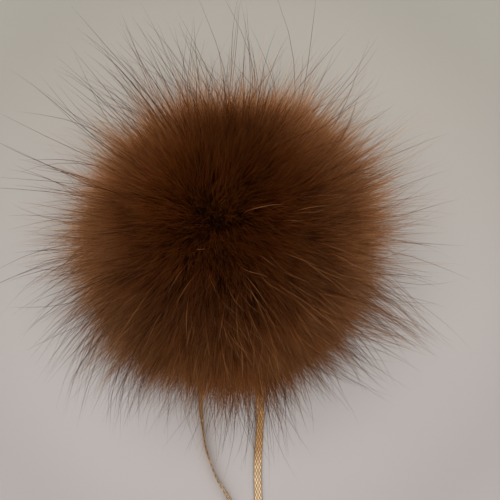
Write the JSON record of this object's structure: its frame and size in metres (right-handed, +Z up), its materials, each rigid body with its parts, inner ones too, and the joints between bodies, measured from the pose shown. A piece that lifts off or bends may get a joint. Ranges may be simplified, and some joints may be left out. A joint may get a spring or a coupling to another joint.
{
  "type": "fur pom pom with ribbon ties",
  "caption": "Round long-pile fur ball on a small flat gathered base, with flat braided ribbon ties that lie out in front to fasten it to a hat, bag or garment.",
  "frame": {"origin": "middle of the flat gathered base, on the surface that the ball sits on", "axes": "+Z up through the crown, and the ties run out along -Y"},
  "size_m": [0.1735, 0.2372, 0.125],
  "materials": {
    "fur": "dense brown underfur with long, darker and slightly glossy guard hair",
    "ribbon": "satin gold braid"
  },
  "bodies": {
    "root": {"fur_coat": "fur", "tie_right": "ribbon", "tie_left": "ribbon"}
  },
  "joints": []
}
